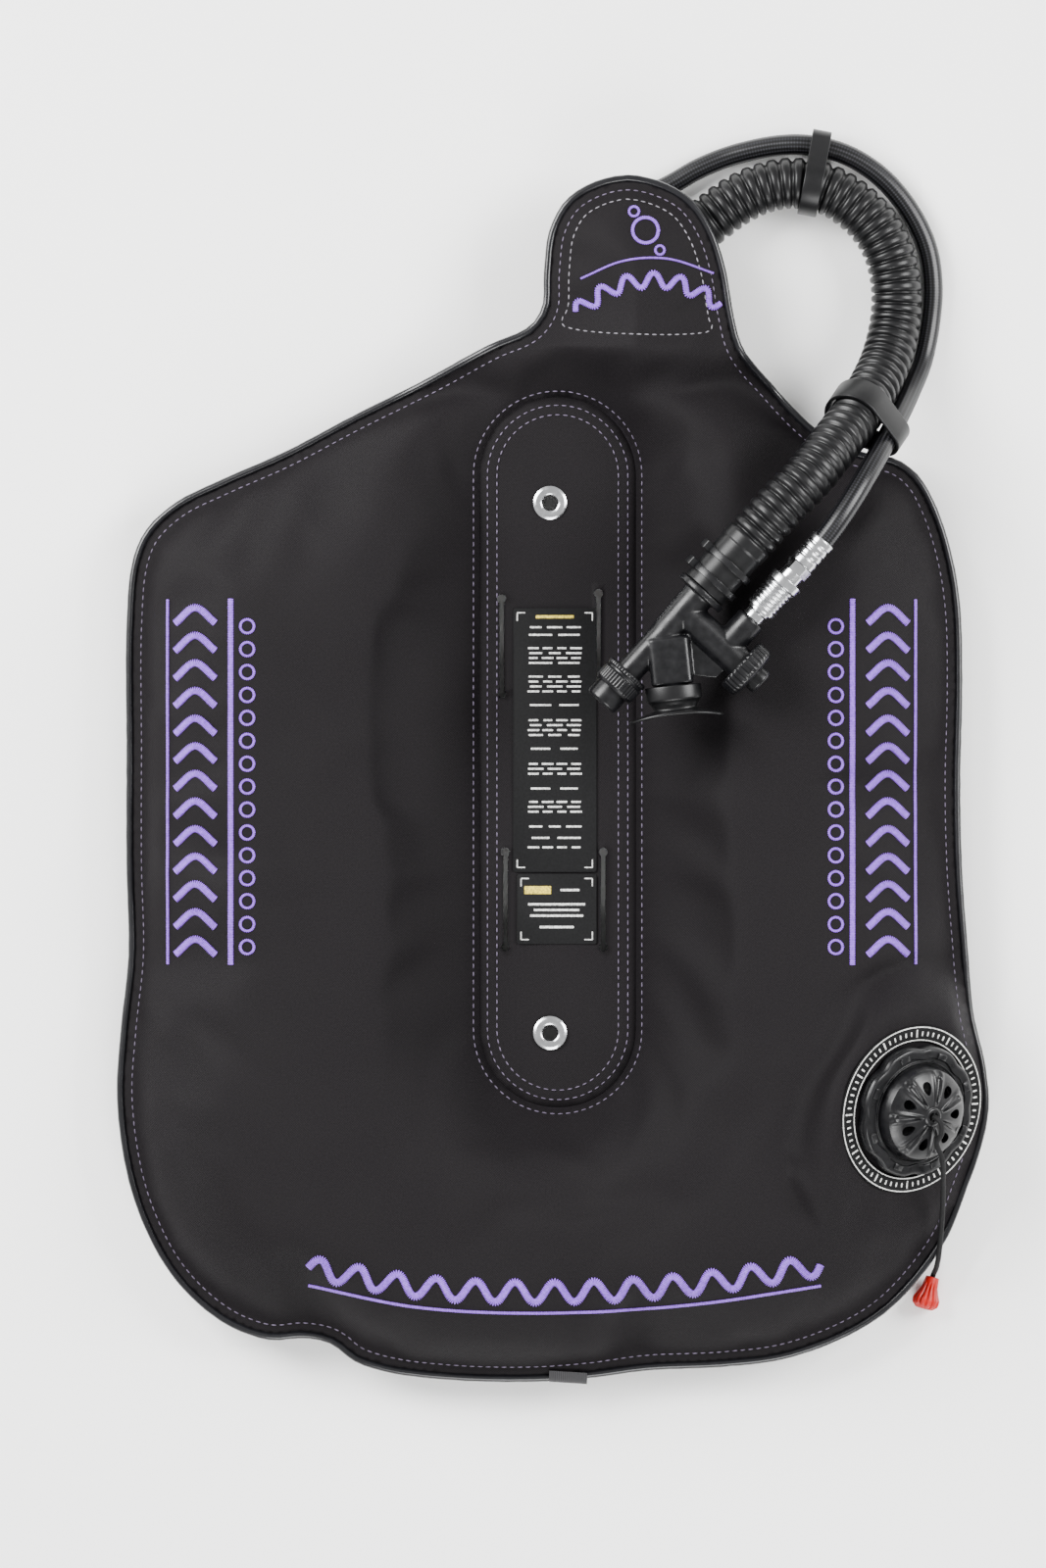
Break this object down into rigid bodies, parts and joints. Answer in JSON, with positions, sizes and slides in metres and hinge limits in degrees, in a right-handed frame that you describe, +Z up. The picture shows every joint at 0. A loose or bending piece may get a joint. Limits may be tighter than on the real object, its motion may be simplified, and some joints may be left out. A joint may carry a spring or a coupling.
{
  "type": "diving buoyancy wing",
  "caption": "Donut-shaped buoyancy wing for technical diving, with bladder, corrugated hose and power inflator, supply hose, and a pull-cord dump valve.",
  "frame": {"origin": "middle of the underside, on the surface that the wing lies on", "axes": "+Z up out of the front face, +Y towards the neck, +X towards the side with the hose and dump valve"},
  "size_m": [0.46, 0.6623, 0.1019],
  "materials": {
    "nylon": "woven, coated",
    "piping": "satin extruded piping",
    "bladder": "translucent film",
    "label": "printed patch",
    "plastic": "satin moulded",
    "rubber": "matte",
    "nickel": "nickel plated",
    "steel": "drawn wire",
    "red": "moulded"
  },
  "bodies": {
    "root": {"front_shell": "nylon", "back_shell": "nylon", "bottom_tab": "nylon", "pull_cord": "nylon", "zip_chain": "nylon", "edge_piping": "piping", "inner_bladder": "bladder", "main_label": "label", "small_label": "label", "port_flange": "plastic", "port_ring": "plastic", "valve_base": "plastic", "valve_body": "plastic", "valve_dome": "plastic", "port_gasket": "rubber", "lp_hose_tail": "rubber", "lp_o_ring": "rubber", "valve_gasket": "rubber", "badge_ring": "rubber", "upper_grommet": "nickel", "lower_grommet": "nickel", "upper_grommet_washer": "nickel", "lower_grommet_washer": "nickel", "lp_end_ferrule": "nickel", "lp_end_fitting": "nickel", "valve_spring": "steel"},
    "hose": {"elbow": "plastic", "elbow_o_ring": "rubber", "elbow_tie": "plastic", "corrugated_hose": "rubber", "hose_keeper_upper": "rubber", "hose_keeper_lower": "rubber", "cuff_tie_front": "plastic", "cuff_tie_rear": "plastic", "inflator_body": "plastic", "mouthpiece": "rubber", "deflate_cap": "plastic", "deflate_spring": "steel", "inflate_cap": "plastic", "inflate_seat": "nickel", "inflate_spring": "steel", "lp_nipple": "nickel", "coupler_body": "nickel", "coupler_spring": "steel", "lp_ferrule": "nickel", "lp_hose": "rubber"},
    "inflate_button": {"inflate_button": "plastic", "inflate_stem": "steel"},
    "deflate_button": {"deflate_button": "plastic", "deflate_stem": "steel", "deflate_seal": "rubber"},
    "coupler_sleeve": {"coupler_sleeve": "nickel"},
    "pull_knob": {"pull_knob": "red"},
    "valve_poppet": {"valve_poppet": "plastic", "valve_seal": "rubber"},
    "zip_slider": {"zip_slider": "nickel", "zip_pull": "nickel"}
  },
  "joints": [
    {"name": "hose_swivel", "type": "hinge", "parent": "root", "child": "hose", "pos_m": [0.0496, 0.277, 0], "axis": [0, 0, 1], "range_deg": [0, 20], "deforming": ["lp_hose"]},
    {"name": "inflate_push", "type": "slide", "parent": "hose", "child": "inflate_button", "axis": [-0.7385, 0.6743, 0], "range_m": [0, 0.0035], "stiffness_N_per_m": 400, "springref_m": -0.002, "deforming": ["inflate_spring"]},
    {"name": "deflate_push", "type": "slide", "parent": "hose", "child": "deflate_button", "axis": [0.6743, 0.7385, 0], "range_m": [0, 0.005], "stiffness_N_per_m": 300, "springref_m": -0.003, "deforming": ["deflate_spring"]},
    {"name": "sleeve_pull", "type": "slide", "parent": "hose", "child": "coupler_sleeve", "axis": [0.6743, 0.7385, 0], "range_m": [0, 0.004], "stiffness_N_per_m": 300, "springref_m": -0.003, "deforming": ["coupler_spring"]},
    {"name": "cord_pull", "type": "slide", "parent": "root", "child": "pull_knob", "axis": [-0.2756, -0.9613, 0], "range_m": [0, 0.005], "stiffness_N_per_m": 300, "springref_m": -0.003, "deforming": ["pull_cord"]},
    {"name": "valve_lift", "type": "slide", "parent": "root", "child": "valve_poppet", "axis": [0.5558, -0.1914, 0.809], "range_m": [0, 0.005], "stiffness_N_per_m": 300, "springref_m": -0.003, "deforming": ["valve_spring"]},
    {"name": "zip_run", "type": "slide", "parent": "root", "child": "zip_slider", "axis": [1, 0, 0], "range_m": [0, 0.12]}
  ],
  "couplings": [
    {"joint": "valve_lift", "follows": "cord_pull", "ratio": 1}
  ]
}
